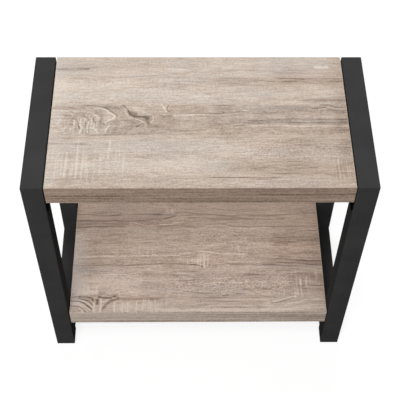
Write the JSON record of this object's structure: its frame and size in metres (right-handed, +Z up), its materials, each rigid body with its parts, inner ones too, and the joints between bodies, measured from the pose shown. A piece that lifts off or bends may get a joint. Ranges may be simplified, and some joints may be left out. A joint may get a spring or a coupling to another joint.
{
  "type": "two-tier side table",
  "caption": "Rectangular side table with a thick driftwood-look top and a matching lower shelf, held between side frames of dark square steel tube.",
  "frame": {"origin": "middle of the footprint, on the floor under the feet", "axes": "+X to the right along the table's width as seen from its front, +Y from the front to the back, +Z up"},
  "size_m": [0.61, 0.305, 0.57],
  "materials": {
    "powder_coat": "fine matt powder coat on steel tube",
    "black_paint": "black paint, darker than the frames",
    "foot_plastic": "moulded plastic",
    "laminate": "matt driftwood-look laminate, grain along the width, on a fibreboard skin",
    "edge_band": "matt edge band in a darker cut of the same grain",
    "chipboard": "raw chipboard",
    "honeycomb_paper": "raw kraft paper",
    "plated_steel": "bright zinc plate",
    "cam_metal": "die-cast zinc alloy"
  },
  "bodies": {
    "root": {"left_front_leg": "powder_coat", "left_rear_leg": "powder_coat", "left_top_rail": "powder_coat", "left_bottom_rail": "powder_coat", "right_front_leg": "powder_coat", "right_rear_leg": "powder_coat", "right_top_rail": "powder_coat", "right_bottom_rail": "powder_coat", "brackets": "black_paint", "left_front_foot": "foot_plastic", "left_rear_foot": "foot_plastic", "right_front_foot": "foot_plastic", "right_rear_foot": "foot_plastic", "top_upper_skin": "laminate", "top_lower_skin": "laminate", "top_front_strip": "chipboard", "top_rear_strip": "chipboard", "top_left_strip": "chipboard", "top_right_strip": "chipboard", "top_core": "honeycomb_paper", "top_front_band": "edge_band", "top_rear_band": "edge_band", "top_left_band": "edge_band", "top_right_band": "edge_band", "shelf_upper_skin": "laminate", "shelf_lower_skin": "laminate", "shelf_front_strip": "chipboard", "shelf_rear_strip": "chipboard", "shelf_left_strip": "chipboard", "shelf_right_strip": "chipboard", "shelf_core": "honeycomb_paper", "shelf_front_band": "edge_band", "shelf_rear_band": "edge_band", "shelf_left_band": "edge_band", "shelf_right_band": "edge_band", "rivet_nuts": "plated_steel", "connecting_bolts": "plated_steel", "cam_locks": "cam_metal"}
  },
  "joints": []
}
